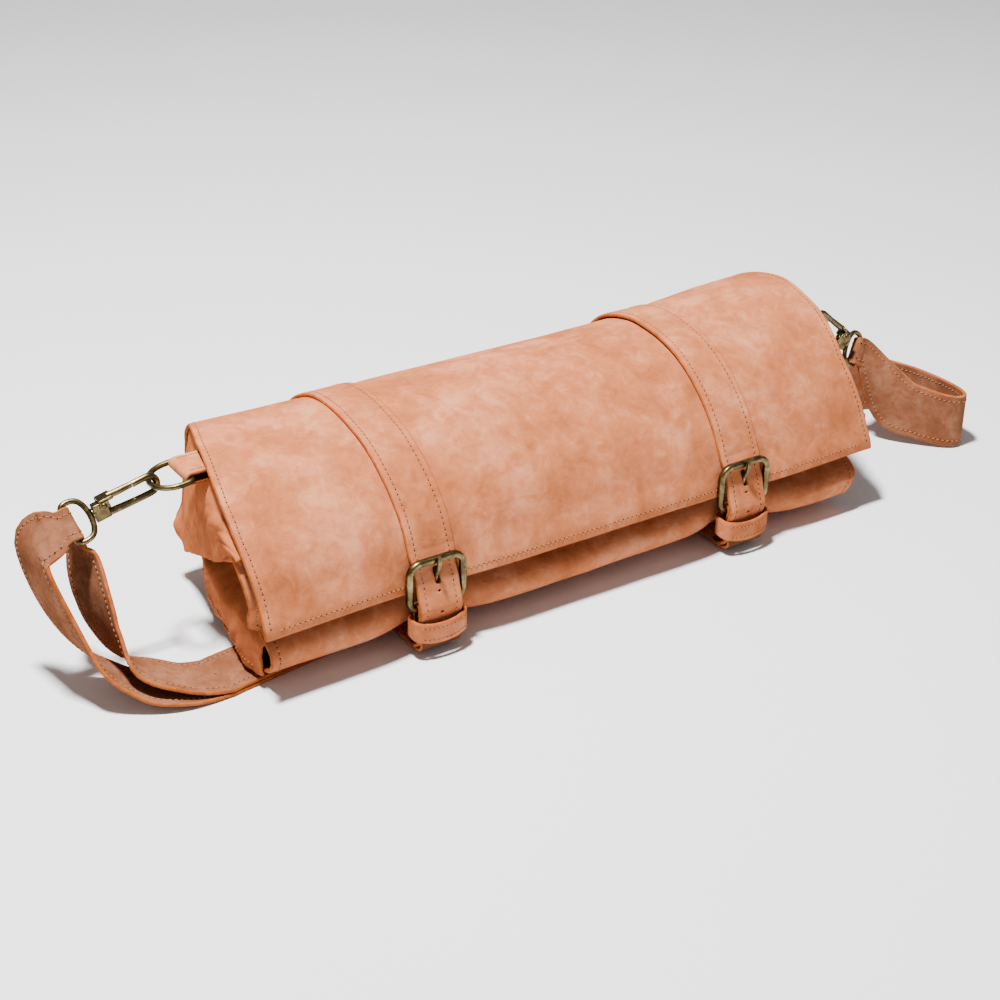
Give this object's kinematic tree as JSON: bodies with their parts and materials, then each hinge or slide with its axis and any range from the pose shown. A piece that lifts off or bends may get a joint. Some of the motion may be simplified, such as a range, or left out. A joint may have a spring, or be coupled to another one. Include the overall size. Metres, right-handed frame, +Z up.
{
  "type": "brush roll case",
  "caption": "Rolled leather case for brushes, closed by a flap with buckled straps, with end wings and a shoulder strap clipped to rings.",
  "frame": {"origin": "on the underside of the shoulder strap where it lies flat beneath the middle of the roll", "axes": "+X along the roll towards the end with the slider, +Z up from the rest surface; the buckles face -Y"},
  "size_m": [0.6835, 0.1752, 0.1274],
  "materials": {
    "nubuck": "mottled tan nubuck, napped, with burnished orange edges",
    "wing_leather": "smooth orange-brown leather, satin",
    "antique_brass": "antique brass, satin, dark in the hollows"
  },
  "bodies": {
    "case": {"outer_shell": "nubuck", "inner_roll": "wing_leather", "pocket_panel": "wing_leather", "wing_left_upper": "wing_leather", "wing_left_lower": "wing_leather", "wing_right_upper": "wing_leather", "wing_right_lower": "wing_leather", "chape_left": "nubuck", "chape_right": "nubuck", "keeper_left": "nubuck", "keeper_right": "nubuck", "ring_tab_left": "nubuck", "ring_tab_right": "nubuck", "strap_lower_run": "nubuck", "strap_upper_run": "nubuck", "strap_left_loop": "nubuck", "strap_through_slider": "nubuck", "strap_right_strand": "nubuck"},
    "flap": {"flap": "nubuck", "flap_strap_left": "nubuck", "flap_strap_right": "nubuck", "billet_left": "nubuck", "billet_right": "nubuck"},
    "slider": {"strap_slider": "antique_brass", "slider_fold": "nubuck"},
    "buckle_left": {"buckle_left": "antique_brass"},
    "prong_left": {"prong_left": "antique_brass"},
    "d_ring_left": {"d_ring_left": "antique_brass"},
    "snap_hook_left": {"snap_hook_left": "antique_brass", "gate_rivet_left": "antique_brass"},
    "hook_gate_left": {"hook_gate_left": "antique_brass"},
    "swivel_eye_left": {"swivel_eye_left": "antique_brass"},
    "buckle_right": {"buckle_right": "antique_brass"},
    "prong_right": {"prong_right": "antique_brass"},
    "d_ring_right": {"d_ring_right": "antique_brass"},
    "snap_hook_right": {"snap_hook_right": "antique_brass", "gate_rivet_right": "antique_brass"},
    "hook_gate_right": {"hook_gate_right": "antique_brass"},
    "swivel_eye_right": {"swivel_eye_right": "antique_brass"}
  },
  "joints": [
    {"name": "flap_open", "type": "hinge", "parent": "case", "child": "flap", "pos_m": [0, 0.07563, 0.045], "axis": [-1, 0, 0], "range_deg": [0, 120], "deforming": ["billet_left", "billet_right"]},
    {"name": "buckle_left_tilt", "type": "hinge", "parent": "case", "child": "buckle_left", "pos_m": [-0.116, -0.0838, 0.031], "axis": [1, 0, 0], "range_deg": [0, 90], "deforming": ["billet_left"]},
    {"name": "prong_left_lift", "type": "hinge", "parent": "buckle_left", "child": "prong_left", "pos_m": [-0.116, -0.0838, 0.031], "axis": [-1, 0, 0], "range_deg": [-60, 0], "deforming": ["billet_left"]},
    {"name": "d_ring_left_swing", "type": "hinge", "parent": "case", "child": "d_ring_left", "pos_m": [-0.2335, 0.002, 0.1143], "axis": [0, 1, 0], "range_deg": [0, 30], "deforming": ["strap_left_loop"]},
    {"name": "snap_hook_left_swing", "type": "hinge", "parent": "d_ring_left", "child": "snap_hook_left", "pos_m": [-0.2543, 0.002, 0.11138], "axis": [0, 1, 0], "range_deg": [0, 12], "deforming": ["strap_left_loop"]},
    {"name": "hook_gate_left_press", "type": "hinge", "parent": "snap_hook_left", "child": "hook_gate_left", "pos_m": [-0.28425, 0.002, 0.10752], "axis": [0, 1, 0], "range_deg": [0, 15], "stiffness_Nm_per_rad": 0.02, "springref_deg": -5.73},
    {"name": "swivel_eye_left_turn", "type": "hinge", "parent": "snap_hook_left", "child": "swivel_eye_left", "pos_m": [-0.28971, 0.002, 0.10255], "axis": [-0.9703, 0, -0.2419], "range_deg": [-15, 15], "deforming": ["strap_left_loop"]},
    {"name": "buckle_right_tilt", "type": "hinge", "parent": "case", "child": "buckle_right", "pos_m": [0.116, -0.0838, 0.031], "axis": [1, 0, 0], "range_deg": [0, 90], "deforming": ["billet_right"]},
    {"name": "prong_right_lift", "type": "hinge", "parent": "buckle_right", "child": "prong_right", "pos_m": [0.116, -0.0838, 0.031], "axis": [-1, 0, 0], "range_deg": [-60, 0], "deforming": ["billet_right"]},
    {"name": "d_ring_right_swing", "type": "hinge", "parent": "case", "child": "d_ring_right", "pos_m": [0.2335, 0.002, 0.1143], "axis": [0, -1, 0], "range_deg": [0, 30], "deforming": ["strap_right_strand"]},
    {"name": "snap_hook_right_swing", "type": "hinge", "parent": "d_ring_right", "child": "snap_hook_right", "pos_m": [0.24935, 0.002, 0.10052], "axis": [0, -1, 0], "range_deg": [0, 12], "deforming": ["strap_right_strand"]},
    {"name": "hook_gate_right_press", "type": "hinge", "parent": "snap_hook_right", "child": "hook_gate_right", "pos_m": [0.27429, 0.002, 0.08348], "axis": [0, -1, 0], "range_deg": [0, 15], "stiffness_Nm_per_rad": 0.02, "springref_deg": -5.73},
    {"name": "swivel_eye_right_turn", "type": "hinge", "parent": "snap_hook_right", "child": "swivel_eye_right", "pos_m": [0.2769, 0.002, 0.07658], "axis": [0.7547, 0, -0.6561], "range_deg": [-15, 15], "deforming": ["strap_right_strand"]},
    {"name": "strap_slider_slide", "type": "slide", "parent": "case", "child": "slider", "axis": [0.9903, 0.1387, 0], "range_m": [-0.006, 0.006], "deforming": ["slider_fold", "strap_through_slider"]}
  ]
}
